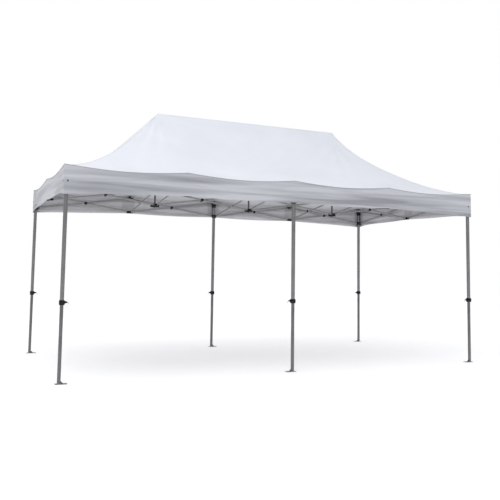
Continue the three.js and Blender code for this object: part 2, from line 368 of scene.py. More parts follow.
class Finish(Nodes):
    """A Principled material under construction."""

    def __init__(self, name, **sockets):
        self.material = bpy.data.materials.new(name)
        self.material.use_nodes = True
        super().__init__(self.material.node_tree)
        self.shader = self.tree.nodes["Principled BSDF"]
        for socket, value in sockets.items():
            self.shader.inputs[socket.replace("_", " ")].default_value = value

    def place(self, stretch=(1, 1, 1), uv=None):
        """Coordinates in metres on the piece itself, stretched along each axis."""
        if uv:
            source = self.node("UVMap", uv_map=uv).outputs["UV"]
        else:
            source = self.node("TexCoord").outputs["Object"]
        return self.node("Mapping", {"Vector": source, "Scale": stretch}).outputs["Vector"]

    def noise(self, scale, detail=4, stretch=(1, 1, 1), distortion=0.0, uv=None):
        values = {"Vector": self.place(stretch, uv), "Scale": scale, "Detail": detail}
        values["Distortion"] = distortion
        return self.node("TexNoise", values).outputs["Fac"]

    def weave(self, scale, uv):
        """Over and under threads, crossing at right angles."""
        place = self.place(uv=uv)
        threads = []
        for direction in ("X", "Y"):
            wave = self.node("TexWave", {"Vector": place, "Scale": scale}, bands_direction=direction)
            threads.append(wave.outputs["Fac"])
        return self.node("Math", {0: threads[0], 1: threads[1]}, operation="MULTIPLY").outputs[0]

    def ramp(self, fac, low, high, start=0.3, end=0.7):
        values = {"Value": fac, "From Min": start, "From Max": end, "To Min": low, "To Max": high}
        return self.node("MapRange", values).outputs["Result"]

    def blend(self, fac, one, two):
        colours = {0: fac, 6: (*one, 1), 7: (*two, 1)}
        return self.node("Mix", colours, data_type="RGBA").outputs[2]

    def dress(self, base, worn, marks, spread, wear, roughness, relief=()):
        """Turns base to worn where the marks are strong, and sets roughness and relief. On the
        valance the marks are bands of painted shade.

        relief holds (height, distance, strength) layers."""
        normal = None
        for height, distance, strength in relief:
            values = {"Height": height, "Distance": distance, "Strength": strength}
            if normal:
                values["Normal"] = normal
            normal = self.node("Bump", values).outputs["Normal"]
        sockets = {"Base Color": self.blend(self.ramp(marks, 0, 1, *spread), base, worn),
                   "Roughness": self.ramp(wear, *roughness), "Normal": normal}
        for socket, value in sockets.items():
            if value:
                self.tree.links.new(value, self.shader.inputs[socket])
        return self.material


def cloth_finish(name, clean, worn, weave_scale=900, uv="cloth", fold_shade_bands=False):
    """Woven fabric. Banded fabric gets long level bands of painted shade where its folds would lie in
    shade; other fabric gets soft patches of soil.
    """
    made = Finish(name, Sheen_Weight=0.15, Sheen_Roughness=0.5, Specular_IOR_Level=0.35)
    if fold_shade_bands:
        # bands of painted shade that run along the valance's folds
        soil_and_fold_shade, spread = made.noise(1, 2, stretch=(0.5, 0.5, 11), distortion=0.4), (0.38, 0.68)
    else:
        soil_and_fold_shade, spread = made.noise(1.3, 5, distortion=0.4), (0.35, 0.75)
    crumple = made.noise(7.5, 5, distortion=0.7)
    return made.dress(clean, worn, soil_and_fold_shade, spread, made.noise(14, 3), (0.58, 0.78),
                      [(crumple, 0.004, 0.35), (made.weave(weave_scale, uv), 0.0002, 0.25)])


def tube_finish(name, base, worn):
    """Satin silver tube, drawn along its length."""
    made = Finish(name, Metallic=0.9, Specular_IOR_Level=0.5)
    streaks = made.noise(1, 5, stretch=(420, 420, 5))
    marks = made.noise(9, 6, stretch=(1, 1, 0.5), distortion=0.5)
    return made.dress(base, worn, marks, (0.45, 0.8), streaks, (0.3, 0.5),
                      [(streaks, 0.0003, 0.2), (marks, 0.0006, 0.12)])


def bar_finish(name, base, worn):
    """Flat sided steel bar with a dull silver coat."""
    made = Finish(name, Metallic=0.75, Specular_IOR_Level=0.5)
    mottle, marks = made.noise(60, 5), made.noise(11, 6, distortion=0.6)
    return made.dress(base, worn, marks, (0.45, 0.8), mottle, (0.36, 0.56), [(mottle, 0.0004, 0.2)])


def plastic_finish(name, base, rubbed):
    """Moulded black nylon with a fine grain and rubbed patches."""
    made = Finish(name, Specular_IOR_Level=0.25)
    grain, rubs = made.noise(900, 2), made.noise(26, 6, distortion=0.8)
    return made.dress(base, rubbed, rubs, (0.5, 0.8), rubs, (0.42, 0.62),
                      [(grain, 0.0003, 0.3), (rubs, 0.0005, 0.15)])


def zinc_finish(name, base, worn):
    """Zinc plated steel with its spangle."""
    made = Finish(name, Metallic=0.9)
    cells = made.node("TexVoronoi", {"Vector": made.place(), "Scale": 140}).outputs["Color"]
    grey = made.node("RGBToBW", {"Color": cells}).outputs[0]
    return made.dress(base, worn, grey, (0.2, 0.8), made.noise(40, 4), (0.35, 0.6),
                      [(made.noise(70, 5), 0.0005, 0.2)])


def floor_finish():
    glow = {"Emission_Strength": 0.42, "Emission_Color": (1, 1, 1, 1)}
    made = Finish("floor_pale", Specular_IOR_Level=0.1, **glow)
    mottle = made.noise(0.8, 4)
    pale, paler = (0.70, 0.70, 0.705), (0.72, 0.72, 0.72)
    return made.dress(pale, paler, mottle, (0.3, 0.7), mottle, (0.85, 0.95))


FABRIC = cloth_finish("white_polyester", (0.77, 0.79, 0.845), (0.72, 0.74, 0.79))
# The valance is a darker grey copy of the roof's polyester: painted shade on the upright sides. Its
# second colour is painted shade in the folds.
SHADED_VALANCE = cloth_finish("valance_polyester_painted_shade", (0.59, 0.60, 0.645), (0.32, 0.325, 0.355), fold_shade_bands=True)
# The piping is real, but its dark grey is painted shadow: the thin shade line under the eave.
EAVE_SHADOW_PIPING = cloth_finish("piping_painted_eave_shadow", (0.40, 0.40, 0.43), (0.34, 0.34, 0.36), uv=None)
# The underside is a darker grey copy of the cloth: painted shade under the canopy.
UNDERSIDE_SHADE = cloth_finish("underside_painted_shade", (0.55, 0.545, 0.565), (0.49, 0.485, 0.505))
# The patches are real, but their grey, darker than the underside, is painted shade of the doubled
# cloth that lets less light through.
PATCH_SHADE = cloth_finish("patch_painted_shade", (0.45, 0.445, 0.455), (0.40, 0.395, 0.405), 500)
THREAD = cloth_finish("white_thread", (0.66, 0.67, 0.70), (0.60, 0.61, 0.64), 2500, None)
SILVER = tube_finish("silver_tube", (0.27, 0.27, 0.273), (0.19, 0.19, 0.193))
SILVER_INNER = tube_finish("inner_tube", (0.20, 0.20, 0.203), (0.13, 0.13, 0.133))
SILVER_DARK = tube_finish("grey_pole", (0.13, 0.13, 0.135), (0.09, 0.09, 0.095))
BAR = bar_finish("silver_bar", (0.36, 0.36, 0.37), (0.27, 0.27, 0.28))
BLACK = plastic_finish("black_nylon", (0.008, 0.008, 0.009), (0.022, 0.022, 0.024))
ZINC = zinc_finish("zinc_plate", (0.36, 0.37, 0.39), (0.24, 0.25, 0.27))

# ---- how the fabric gathers as the frame folds ---------------------------------------------------

FOLDED = 0.10663                       # the share of its width that the folded frame keeps
SLIDE = 1.241                          # how far the sliding brackets descend
HEAP_BASE = 2.556                      # the gathered roof lies on the leg tops at this height
HEAP_RISE = 0.150
PLEAT_DEPTH = 0.040
PLEAT_PITCH = 0.43                     # along the open eave
GATHER = ("leg_front_left", "leg_front_right", "leg_back_left", "leg_back_middle", "leg_back_right")
LOWERING = "slider_front_middle"


def smooth(value, start, end):
    """Rises smoothly from 0 at start to 1 at end."""
    share = min(1.0, max(0.0, (value - start) / (end - start)))
    return share * share * (3 - 2 * share)


def fold_shares(point):
    """How much of each moving body's travel a point of the fabric takes.

    The legs only slide together as the frame folds, so shares of their travel gather the fabric
    between them, and a share of a sliding bracket's travel lowers it onto the leg tops."""
    to_end = EAVE_X - abs(point.x)
    to_side = EAVE_Y - abs(point.y)
    up = max(0.0, min(to_end, to_side)) / RUN
    across = max(-1.0, min(1.0, point.x / HALF_LENGTH))
    back = max(0.0, min(1.0, (point.y / HALF_WIDTH + 1) / 2))
    on_long_side = to_side < to_end
    along = point.x if on_long_side else point.y
    low = min(1.0, max(0.0, (EAVE - point.z) / DROP)) if up < 0.01 else 0.0
    jitter = 1.6 * noise.noise(Vector((along * 0.9, 3.0 if on_long_side else 9.0, point.y * 0.3)))
    wave = 0.5 - 0.5 * math.cos(2 * math.pi * along / PLEAT_PITCH + jitter)
    clear = smooth(abs(to_end - to_side), 0.02, 0.5) * (1 - smooth(up, 0.1, 0.9))
    pleat = PLEAT_DEPTH * wave * clear * (0.45 + 0.55 * low) / (HALF_LENGTH * (1 - FOLDED))
    if on_long_side:
        back -= math.copysign(pleat, point.y)
    else:
        across -= math.copysign(pleat, point.x)
    lumps = noise.noise(point * 2.1) * 0.05 + noise.noise(point * 5.3) * 0.022
    heap = HEAP_BASE + HEAP_RISE * (1 - (1 - up) ** 2) + (lumps + 0.05 * wave) * smooth(up, 0.05, 0.3)
    target = point.z + (max(heap, HEAP_BASE) - point.z) * smooth(up, 0.0, 0.12)
    left, right = max(0.0, -across), max(0.0, across)
    return {
        "leg_front_left": left * (1 - back),
        "leg_front_right": right * (1 - back),
        "leg_back_left": left * back,
        "leg_back_middle": (1 - left - right) * back,
        "leg_back_right": right * back,
        LOWERING: max(0.0, (point.z - target) / SLIDE),
    }


def gather_with_frame(made):
    """Hooks a fabric piece to the bodies that gather it."""
    shares = [fold_shares(made.matrix_world @ vertex.co) for vertex in made.data.vertices]
    for body in (*GATHER, LOWERING):
        group = made.vertex_groups.new(name=body)
        for i, share in enumerate(shares):
            if share[body] > 1e-4:
                group.add([i], min(1.0, share[body]), "REPLACE")
        hook = made.modifiers.new(body, "HOOK")
        hook.object = frame["bodies"][body]
        hook.vertex_group = group.name
        hook.falloff_type = "NONE"
    return made


# ---- the fabric's surface ------------------------------------------------------------------------

# Each side: the way along it, the way out, half its eave, half its top edge, how far its top edge
# is from the middle, and its number of bays.
SIDES = [
    (Vector((1, 0, 0)), Vector((0, -1, 0)), EAVE_X, BAY, 0.0, 4),
    (Vector((0, 1, 0)), Vector((1, 0, 0)), EAVE_Y, 0.0, BAY, 2),
    (Vector((-1, 0, 0)), Vector((0, 1, 0)), EAVE_X, BAY, 0.0, 4),
    (Vector((0, -1, 0)), Vector((-1, 0, 0)), EAVE_Y, 0.0, BAY, 2),
]
# Each fan of tension folds: its centre, height, number of folds, how far they drift and how often,
# and the distances between which the fan grows.
FANS = [(Vector((x, 0)), 0.014, 13, 2.0, 3, 0.03, 0.2) for x in (-BAY, BAY)] + [
    (Vector((x * HALF_LENGTH, y * HALF_WIDTH)), 0.006, 17, 1.7, 5, 0.05, 0.25)
    for x in (-1, 1) for y in (-1, 1)
]
FAN_FADE = 0.60                        # a fan fades to 1/e over this distance


def slope_height(t, x):
    """Height of the roof at a share t of the way from the eave to the ridge.

    The slopes are hollow. The left end is fuller, and the right end steepens near its peak."""
    left = t ** LEFT_POWER
    right = RIGHT_SHARE * t ** RIGHT_POWER + (1 - RIGHT_SHARE) * t ** TIP_POWER
    rightness = min(1.0, max(0.0, (x / BAY + 1) / 2))
    return EAVE + (PEAK - EAVE) * (left + (right - left) * rightness)


def eave_sag(along, bays, t):
    return EAVE_DIP * abs(math.sin(math.pi * bays * along)) * (1 - t) ** 3


def hang(along):
    """Depth of the valance."""
    return DROP + CORNER_DROP * abs(2 * along - 1) ** CORNER_POWER


def valance_fold(side, along, down):
    """How far soft folds, which run along the side, push the valance out."""
    half = SIDES[side][2]
    s = 2 * half * along + 11.3 * side
    drift = noise.noise(Vector((s * 0.7, side, 0.0)))
    swell = noise.noise(Vector((s * 1.1, side, 4.0)))
    ripple = noise.noise(Vector((s * 1.9, down * 2.0, 7.0 + side)))
    broad = math.sin(2 * math.pi * (1.9 * down + 0.9 * drift))
    fine = math.sin(2 * math.pi * (3.8 * down + 1.5 * swell + 0.3))
    out = 0.0085 * broad * (0.8 + 0.6 * swell) + 0.0032 * fine + 0.004 * ripple
    ends = smooth(min(along, 1 - along) * 2 * half, 0.0, 0.30)
    tuck = 0.0025 * smooth(down, 0.0, 0.03) * (1 - smooth(down, 0.06, 0.18))
    return out * ends * smooth(down, 0.03, 0.20) - tuck


def slope_wrinkle(x, y, t):
    """Height of the tension folds that fan out from the peaks and the corners."""
    place = Vector((x, y))
    total = 0.0
    for centre, height, folds, drift, turns, start, full in FANS:
        away = place - centre
        angle = math.atan2(away.y, away.x)
        near = math.exp(-away.length / FAN_FADE) * smooth(away.length, start, full)
        total += height * near * math.cos(folds * angle + drift * math.sin(turns * angle))
    soft = 0.010 * noise.noise(Vector((x * 1.2, y * 1.2, 2.0)))
    soft += 0.004 * noise.noise(Vector((x * 3.1, y * 3.1, 5.0)))
    return (total + soft * (1 - t) ** 0.5) * smooth(t, 0.0, 0.08) * smooth(1 - t, 0.0, 0.05)


def cover_point(side, along, level, lift=0.0):
    """A point of the cover's outer face, raised off it by lift.

    level is the share up the slope, or below 0 the share down the valance."""
    way, out, half, top, inner, bays = SIDES[side]
    if level <= 0:
        mitre = out.copy()
        if along <= 0:
            mitre = out + SIDES[side - 1][1]
        if along >= 1:
            mitre = out + SIDES[(side + 1) % 4][1]
        push = valance_fold(side, along, -level) + lift
        z = EAVE - eave_sag(along, bays, 0) * (1 + (1 - HEM_SHARE) * level) + level * hang(along)
        return way * ((2 * along - 1) * half) + out * (inner + RUN) + mitre * push + UP * z
    reach = half + (top - half) * level
    flat = way * ((2 * along - 1) * reach) + out * (inner + RUN * (1 - level))
    sag = eave_sag(along, bays, level)
    z = slope_height(level, flat.x) - sag + slope_wrinkle(flat.x, flat.y, level)
    step = min(0.002, level)
    rise = slope_height(level + step, flat.x) - slope_height(level - step, flat.x)
    normal = (UP + out * (rise / (2 * step * RUN))).normalized()
    return flat + UP * z + normal * lift


LONG_COLUMNS = 200
END_COLUMNS = 100
VALANCE_ROWS = 18
SLOPE_ROWS = 46


def columns(side):
    return LONG_COLUMNS if SIDES[side][5] == 4 else END_COLUMNS


def perimeter():
    """(side, along) of each column round the cover, every corner once."""
    return [(side, j / columns(side)) for side in range(4) for j in range(columns(side))]


def cover_shape():
    """Roof and valance in one continuous sheet, with its own flat coordinates.

    The roof's faces use the first material and the valance's the third."""
    shape = bmesh.new()
    flat = shape.loops.layers.uv.new("cloth")
    valance = [-1 + i / VALANCE_ROWS for i in range(VALANCE_ROWS)]
    slope = [(i / SLOPE_ROWS) ** 1.15 for i in range(SLOPE_ROWS + 1)]
    slope = [t if t < 0.985 else 1.0 for t in slope]
    levels = valance + slope
    for side, (_, _, half, top, _, _) in enumerate(SIDES):
        count = columns(side)
        grid = [
            [shape.verts.new(cover_point(side, j / count, t)) for j in range(count + 1)]
            for t in levels
        ]
        spot = {}
        for i, t in enumerate(levels):
            height = t * 0.3 if t < 0 else t * 1.9
            width = half if t < 0 else half + (top - half) * t
            for j in range(count + 1):
                spot[grid[i][j]] = ((2 * j / count - 1) * width + 10 * side, height)
        for i in range(len(levels) - 1):
            for j in range(count):
                corners = (grid[i][j], grid[i][j + 1], grid[i + 1][j + 1], grid[i + 1][j])
                face = shape.faces.new(corners)
                face.material_index = 2 if levels[i] < 0 else 0
                for loop in face.loops:
                    loop[flat].uv = spot[loop.vert]
    bmesh.ops.remove_doubles(shape, verts=shape.verts, dist=1e-5)
    bmesh.ops.dissolve_degenerate(shape, edges=shape.edges, dist=1e-6)
    return shape


def hem_shape():
    """The folded hem: a tape that wraps the valance's lower edge."""
    deep, over, clear = 0.050, 0.0009, 0.0002
    rings = []
    for side, along in perimeter():
        depth = hang(along)
        top, low = -(1 - deep / depth), -1 - over / depth
        section = [(top, clear), (top, over), (low, over), (low, -CLOTH - over), (top, -CLOTH - over),
                   (top, -CLOTH - clear), (-1, -CLOTH - clear), (-1, clear)]
        rings.append([cover_point(side, along, level, lift) for level, lift in section])
    return loft(rings, closed=True)


def eave_bead_shape():
    """The piping sewn in where the roof meets the valance."""
    radius, sides = 0.0042, 8
    angles = [2 * math.pi * k / sides for k in range(sides)]
    rings = []
    for side, along in perimeter():
        centre = cover_point(side, along, 0.0, -0.0008)
        out = cover_point(side, along, 0.0, 1.0) - cover_point(side, along, 0.0, 0.0)
        rings.append([centre + (out * math.cos(a) + UP * math.sin(a)) * radius for a in angles])
    return loft(rings, closed=True)


def seam_shape(strip, lift=0.0012, under=0.0003):
    """A flat band on the cover: the strip holds the (side, along, level) stations across it."""
    rings = []
    for stations in strip:
        upper = [cover_point(*station, lift) for station in stations]
        lower = [cover_point(*station, under) for station in reversed(stations)]
        rings.append(upper + lower)
    return loft(rings)


def edge_band(side, width, start, rise, rows, lift=0.0012):
    """A band over the edge where a side begins, from the level start on by rise."""
    strip = []
    for i in range(rows + 1):
        level = start + rise * i / rows
        stations = []
        for one in ((side - 1) % 4, side):
            half, top = SIDES[one][2], SIDES[one][3]
            share = min(0.4, width / (2 * (half + (top - half) * max(0.0, level))))
            along = [0.0, share / 2, share] if one == side else [1 - share, 1 - share / 2]
            stations += [(one, a, level) for a in along]
        strip.append(stations)
    return seam_shape(strip, lift)


def ridge_seam_shape(width=0.012, rows=60):
    near, half_way = 1 - width / RUN, 1 - width / RUN / 2
    strip = []
    for i in range(rows + 1):
        along = 0.004 + 0.992 * i / rows
        strip.append([(0, along, near), (0, along, half_way), (0, along, 1.0),
                      (2, 1 - along, half_way), (2, 1 - along, near)])
    return seam_shape(strip)


def corner_band_shape():
    """Folded tape round each upright corner of the valance."""
    return joined([edge_band(side, 0.034, -0.02, -0.80, 16, 0.0011) for side in range(4)])


def patch_shape():
    """Reinforcement patches sewn inside the valance at every support."""
    parts = []
    levels = [-0.03 - 0.72 * r / 12 for r in range(13)]
    for side, (_, _, half, _, _, bays) in enumerate(SIDES):
        edge, reach = 0.008 / (2 * half), 0.105 / (2 * half)
        for k in range(bays + 1):
            start, end = max(edge, k / bays - reach), min(1 - edge, k / bays + reach)
            across = [start + (end - start) * i / 10 for i in range(11)]
            strip = [[(side, along, level) for level in levels] for along in across]
            parts.append(seam_shape(strip, -CLOTH - 0.0006, -CLOTH - 0.0018))
    return joined(parts)


STITCH = (0.0072, 0.0011, 0.0006)      # length, width and height of one stitch
STITCH_PITCH = 0.0125


def stitch_row(point_at, length):
    """Small raised stitches along a line: point_at gives the place, the way on and the way out."""
    parts = bmesh.new()
    long, wide, high = STITCH
    count = int(length / STITCH_PITCH)
    for k in range(count):
        place, on, out = point_at((k + 0.5) / count)
        across = on.cross(out).normalized()
        size = placed(place + out * (high / 2), on * long, across * wide, out * high)
        bmesh.ops.create_cube(parts, size=1, matrix=size)
    return parts


def level_stitches(side, level_at, lift):
    """Stitches along one side of the valance."""
    margin = 0.003

    def point_at(share):
        along = margin + (1 - 2 * margin) * share
        place = cover_point(side, along, level_at(along), lift)
        ahead = cover_point(side, along + 0.0005, level_at(along + 0.0005), lift)
        return place, (ahead - place).normalized(), SIDES[side][1]

    return stitch_row(point_at, 2 * SIDES[side][2])


def hip_stitches(side, offset, leading):
    """Stitches up one hip, on the panel of the given side."""

    def spot(level):
        half, top = SIDES[side][2], SIDES[side][3]
        share = min(0.3, offset / (2 * (half + (top - half) * level)))
        along = share if leading else 1 - share
        return cover_point(side, along, level, 0.0013)

    def point_at(share):
        level = 0.01 + 0.94 * share
        place = spot(level)
        on = (spot(level + 0.002) - place).normalized()
        out = (UP - on * on.z).normalized()
        return place, on, out

    return stitch_row(point_at, 2.3)


def stitching_shape():
    rows = []
    for side in range(4):
        rows.append(level_stitches(side, lambda along: -(1 - 0.046 / hang(along)), 0.0010))
        rows.append(level_stitches(side, lambda along: -0.011 / hang(along), 0.0001))
        rows.append(hip_stitches(side, 0.009, True))
        rows.append(hip_stitches(side, 0.009, False))
    return joined(rows)


def eyelet_shape():
    """The small eyelets beside each corner of the valance."""
    profile = [(0, 0.0006), (0.003, 0.0006), (0.0042, 0.0022), (0.0075, 0.0026), (0.0095, 0.0012),
               (0.0098, -0.0045), (0.0042, -0.0052), (0, -0.0040)]
    parts = []
    for side, (way, out, half, _, _, _) in enumerate(SIDES):
        for along in (0.046 / (2 * half), 1 - 0.046 / (2 * half)):
            place = cover_point(side, along, -0.19 / hang(along), 0.0)
            parts.append(moved(lathe(profile, 16), placed(place, way, UP, out)))
    return joined(parts)


def build_cover():
    """The continuous sheet with everything that is sewn to it."""
    def sewn(name, shape, finish):
        return gather_with_frame(piece(name, shape, ROOT, finish))

    trims = [
        sewn("cover_hem", hem_shape(), SHADED_VALANCE),
        # dark grey piping: painted shadow under the eave
        sewn("cover_eave_piping", eave_bead_shape(), EAVE_SHADOW_PIPING),
        sewn("cover_corner_bands", corner_band_shape(), SHADED_VALANCE),
        # grey patches: painted shade of the doubled cloth
        sewn("cover_reinforcement_patches", patch_shape(), PATCH_SHADE),
        sewn("cover_stitching", stitching_shape(), THREAD),
        sewn("cover_seam_ridge", ridge_seam_shape(), FABRIC),
    ]
    for side, name in enumerate(("front_left", "front_right", "back_right", "back_left")):
        seam = edge_band(side, 0.012, 0.004, 0.955, 40)
        trims.append(sewn(f"cover_seam_hip_{name}", seam, FABRIC))
    eyelets = gather_with_frame(piece("cover_eyelets", eyelet_shape(), ROOT, BLACK))
    cover = sewn("cover", cover_shape(), FABRIC)
    solid = cover.modifiers.new("thickness", "SOLIDIFY")
    solid.thickness = CLOTH
    solid.offset = -1
    solid.material_offset = 1
    # the inner shell takes the darker grey copy of the cloth: painted shade under the canopy
    for finish in (UNDERSIDE_SHADE, SHADED_VALANCE, UNDERSIDE_SHADE):
        cover.data.materials.append(finish)
    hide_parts("roof_front", "roof_right", "roof_back", "roof_left")
    return cover, [*trims, eyelets]


# ---- legs ----------------------------------------------------------------------------------------


def bolt_pair(place, heading, far):
    """A washer and a bolt head on each side of a pinned joint, far from its middle plane."""
    parts = []
    for flip in (0, math.pi):
        matrix = upright(heading + flip, place)
        washer = slab(circle(0.0095), far + 0.0001, far + 0.0014, 0.0004)
        head = slab(hexagon(0.0072, 0.0006, 2), far + 0.0014, far + 0.0052, 0.0008)
        parts += [moved(washer, matrix), moved(head, matrix)]
    return parts


def pin_bolts(tongues, height):
    """Bolts through the bars of every (heading, gap) tongue."""
    parts = []
    for heading, gap in tongues:
        place = way_along(heading) * PIN_OFFSET + UP * height
        parts += bolt_pair(place, heading, gap + BAR_THICKNESS)
    return joined(parts)


def tongue(heading, gap, height):
    """A blade between the bars, with a thicker root, pointing along a heading."""
    half = gap - 0.0006
    blade_outline = rectangle((0.026, -0.016), (0.062, 0.016), 0.0075)
    blade = slab(blade_outline, -half, half, 0.0008)
    root_half = max(half, 0.0125)
    root = slab(rectangle((0.024, -0.018), (0.0355, 0.018), 0.003), -root_half, root_half, 0.0012)
    place = upright(heading, (0, 0, height))
    return [moved(blade, place), moved(root, place)]


def top_bracket_shape(tongues):
    half = 0.029
    body = slab(rectangle((-half, -half), (half, half), 0.008), 2.434, 2.5005, 0.003, 3)
    pad = lathe([(0, 2.5195), (0.008, 2.5185), (0.014, 2.5145), (0.017, 2.508), (0.018, 2.499),
                 (0, 2.499)])
    skirt = sleeve([(2.402, 0.0275), (2.404, 0.0285), (2.434, 0.0285), (2.436, 0.0275)],
                   [(2.436, TUBE_RADIUS + 0.0003), (2.402, TUBE_RADIUS + 0.0003)])
    ribs = [block((x - 0.0015, -half - 0.0012, 2.44), (x + 0.0015, half + 0.0012, 2.494), 0.0006)
            for x in (-0.018, 0.018)]
    blades = [part for heading, gap in tongues for part in tongue(heading, gap, TOP_PIN)]
    return joined([body, pad, skirt, *ribs, *blades])


def slider_shape(tongues, free_heading):
    """The sliding bracket: a moulded sleeve with its tongues and a thumb catch."""
    low, high = LOW_PIN - 0.028, LOW_PIN + 0.026
    levels = [(low, 0.0265), (low + 0.002, 0.0285), (low + 0.009, 0.0288), (low + 0.011, 0.0300),
              (high - 0.008, 0.0300), (high - 0.006, 0.0286), (high - 0.002, 0.0284), (high, 0.0268)]
    bore = TUBE_RADIUS + 0.0008
    body = sleeve(levels, [(high, bore), (low, bore)])
    blades = [part for heading, gap in tongues for part in tongue(heading, gap, LOW_PIN)]
    catch = slab(rectangle((0.027, -0.020), (0.041, -0.002), 0.004), -0.007, 0.007, 0.002)
    grip = slab(rectangle((0.037, -0.034), (0.043, -0.010), 0.0025), -0.009, 0.009, 0.0015)
    place = upright(free_heading, (0, 0, LOW_PIN))
    return joined([body, *blades, moved(catch, place), moved(grip, place)])


LOCK_LOW = TUBE_BOTTOM - 0.006
LOCK_HIGH = LOCK_LOW + 0.056
LUG_HEIGHT = LOCK_LOW + 0.031


def lock_collar_shape(way):
    """The collar that locks the telescopic leg, with its pull lug on one side."""
    levels = [(LOCK_LOW, 0.0270), (LOCK_LOW + 0.002, 0.0290), (LOCK_LOW + 0.012, 0.0298),
              (LOCK_LOW + 0.014, 0.0310), (LOCK_HIGH - 0.012, 0.0310), (LOCK_HIGH - 0.010, 0.0296),
              (LOCK_HIGH - 0.002, 0.0288), (LOCK_HIGH, 0.0275)]
    bore = [(LOCK_HIGH, TUBE_RADIUS + 0.0003), (TUBE_BOTTOM - 0.0005, TUBE_RADIUS + 0.0003),
            (TUBE_BOTTOM - 0.0005, INNER_RADIUS + 0.0006), (LOCK_LOW, INNER_RADIUS + 0.0006)]
    outline = [(0.026, -0.017), (0.046, -0.011), (0.066, -0.003),
               (0.066, 0.006), (0.048, 0.012), (0.026, 0.020)]
    lug = slab(rounded_polygon(outline, 0.0025), -0.009, 0.009, 0.002)
    heading = EAST if way > 0 else WEST
    return joined([sleeve(levels, bore), moved(lug, upright(heading, (0, 0, LUG_HEIGHT)))])


def lock_ring_shape(way):
    """The pull ring, leaning out from the lug's tip."""
    radius, wire = 0.0175, 0.0016
    lean = Matrix.Rotation(way * math.radians(-42), 4, "Y")
    hung = Matrix.Translation((0, 0, -radius + 0.003)) @ Matrix.Rotation(math.pi / 2, 4, "Y")
    place = Matrix.Translation((way * 0.0625, 0, LUG_HEIGHT + 0.0015))
    stub = lathe([(0, -0.004), (0.0022, -0.004), (0.0022, 0.004), (0, 0.004)], 10)
    pin = moved(stub, place @ Matrix.Rotation(math.pi / 2, 4, "X"))
    return joined([moved(wire_ring(radius, wire), place @ lean @ hung), pin])


def hexagonal_tube(radius, corner, low, high):
    return tube(hexagon(radius, corner), hexagon(radius - TUBE_WALL, 0.0015), low, high)


def inner_tube_shape():
    """The sliding lower tube, with the holes that the lock's pin drops into."""
    blank = hexagonal_tube(INNER_RADIUS, 0.0028, PLATE_TOP, INNER_TOP)
    holes = []
    for k in range(5):
        turn = Matrix.Translation((0, 0, 0.125 + 0.2 * k)) @ Matrix.Rotation(math.pi / 2, 4, "Y")
        holes.append(moved(slab(circle(0.0045, 16), 0.005, 0.035, 0.0001, 1), turn))
    return cut(blank, joined(holes))


FOOT_SHIFT = 0.025


def foot_plate_shape(way):
    """The pegged down plate, the weld round its tube and a stiffening rib."""
    half_x, half_y, inset = 0.070, 0.040, 0.016
    middle = way * FOOT_SHIFT
    outline = rectangle((middle - half_x, -half_y), (middle + half_x, half_y), 0.010, 5)
    hole_x = way * (FOOT_SHIFT + half_x - inset)
    holes = []
    for side in (-1, 1):
        place = Matrix.Translation((hole_x, side * (half_y - inset), 0))
        holes.append(moved(slab(circle(0.006, 20), -0.01, 0.01, 0.0001, 1), place))
    plate = cut(slab(outline, 0, PLATE_TOP, 0.0007), joined(holes))
    hexes = [(grown(hexagon(INNER_RADIUS, 0.0028), g), z)
             for g, z in ((0.0055, 0.0038), (0.0042, 0.0060), (0.0016, 0.0084), (0.0002, 0.0092))]
    inner = hexagon(INNER_RADIUS - 0.001, 0.0020)
    hexes += [(inner, 0.0092), (inner, 0.0038)]
    weld = loft([ring(outline, z) for outline, z in hexes], closed=True)
    rib_outline = [(0.021, 0.0038), (0.056, 0.0038), (0.050, 0.0075), (0.026, 0.034), (0.021, 0.036)]
    rib = slab(rounded_polygon(rib_outline, 0.001, 2), -0.002, 0.002, 0.0005)
    return joined([plate, weld, moved(rib, upright(EAST if way > 0 else WEST))])


LEGS = [
    # name, place, the way its foot plate reaches, the way its lock faces, outer and inner tongues
    ("front_left", (-1, -1), 1, 1, (EAST, NORTH), ()),
    ("front_middle", (0, -1), -1, -1, (EAST, WEST), (NORTH,)),
    ("front_right", (1, -1), -1, -1, (WEST, NORTH), ()),
    ("back_left", (-1, 1), 1, 1, (EAST, SOUTH), ()),
    ("back_middle", (0, 1), 1, -1, (EAST, WEST), (SOUTH,)),
    ("back_right", (1, 1), -1, -1, (WEST, SOUTH), ()),
]


